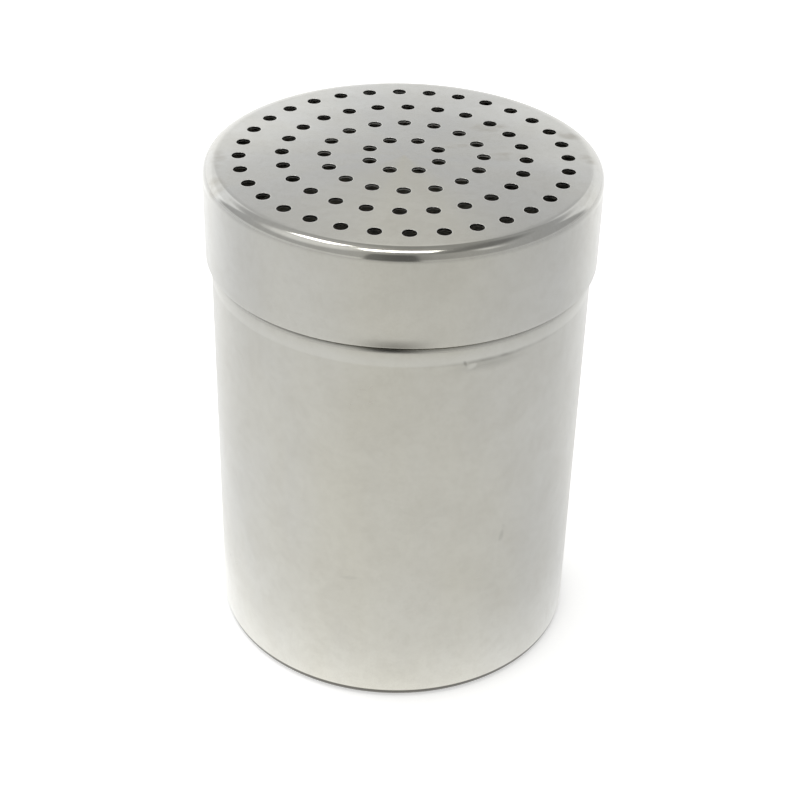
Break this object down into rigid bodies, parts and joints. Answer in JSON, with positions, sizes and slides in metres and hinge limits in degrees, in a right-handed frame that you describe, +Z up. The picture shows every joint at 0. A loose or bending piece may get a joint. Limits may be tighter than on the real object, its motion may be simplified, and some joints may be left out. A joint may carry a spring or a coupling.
{
  "type": "spice shaker",
  "caption": "Round stainless kitchen shaker: a plain drawn can with a perforated cap that pushes on over its curled rim and lifts off to refill.",
  "frame": {"origin": "centre of the shaker's footprint, on the surface that it stands on", "axes": "+Z up along the axis of can and cap; +X and +Y level, with -Y towards the picture's camera"},
  "size_m": [0.07, 0.07, 0.095],
  "materials": {
    "can_steel": "satin polished stainless sheet, smooth, faintly mottled by handling",
    "cap_steel": "satin polished stainless sheet with punched holes, bright at the bend"
  },
  "bodies": {
    "can": {"can": "can_steel"},
    "cap": {"perforated_cap": "cap_steel"}
  },
  "joints": [
    {"name": "lift_off", "type": "slide", "parent": "can", "child": "cap", "axis": [0, 0, 1], "range_m": [0, 0.04]}
  ]
}
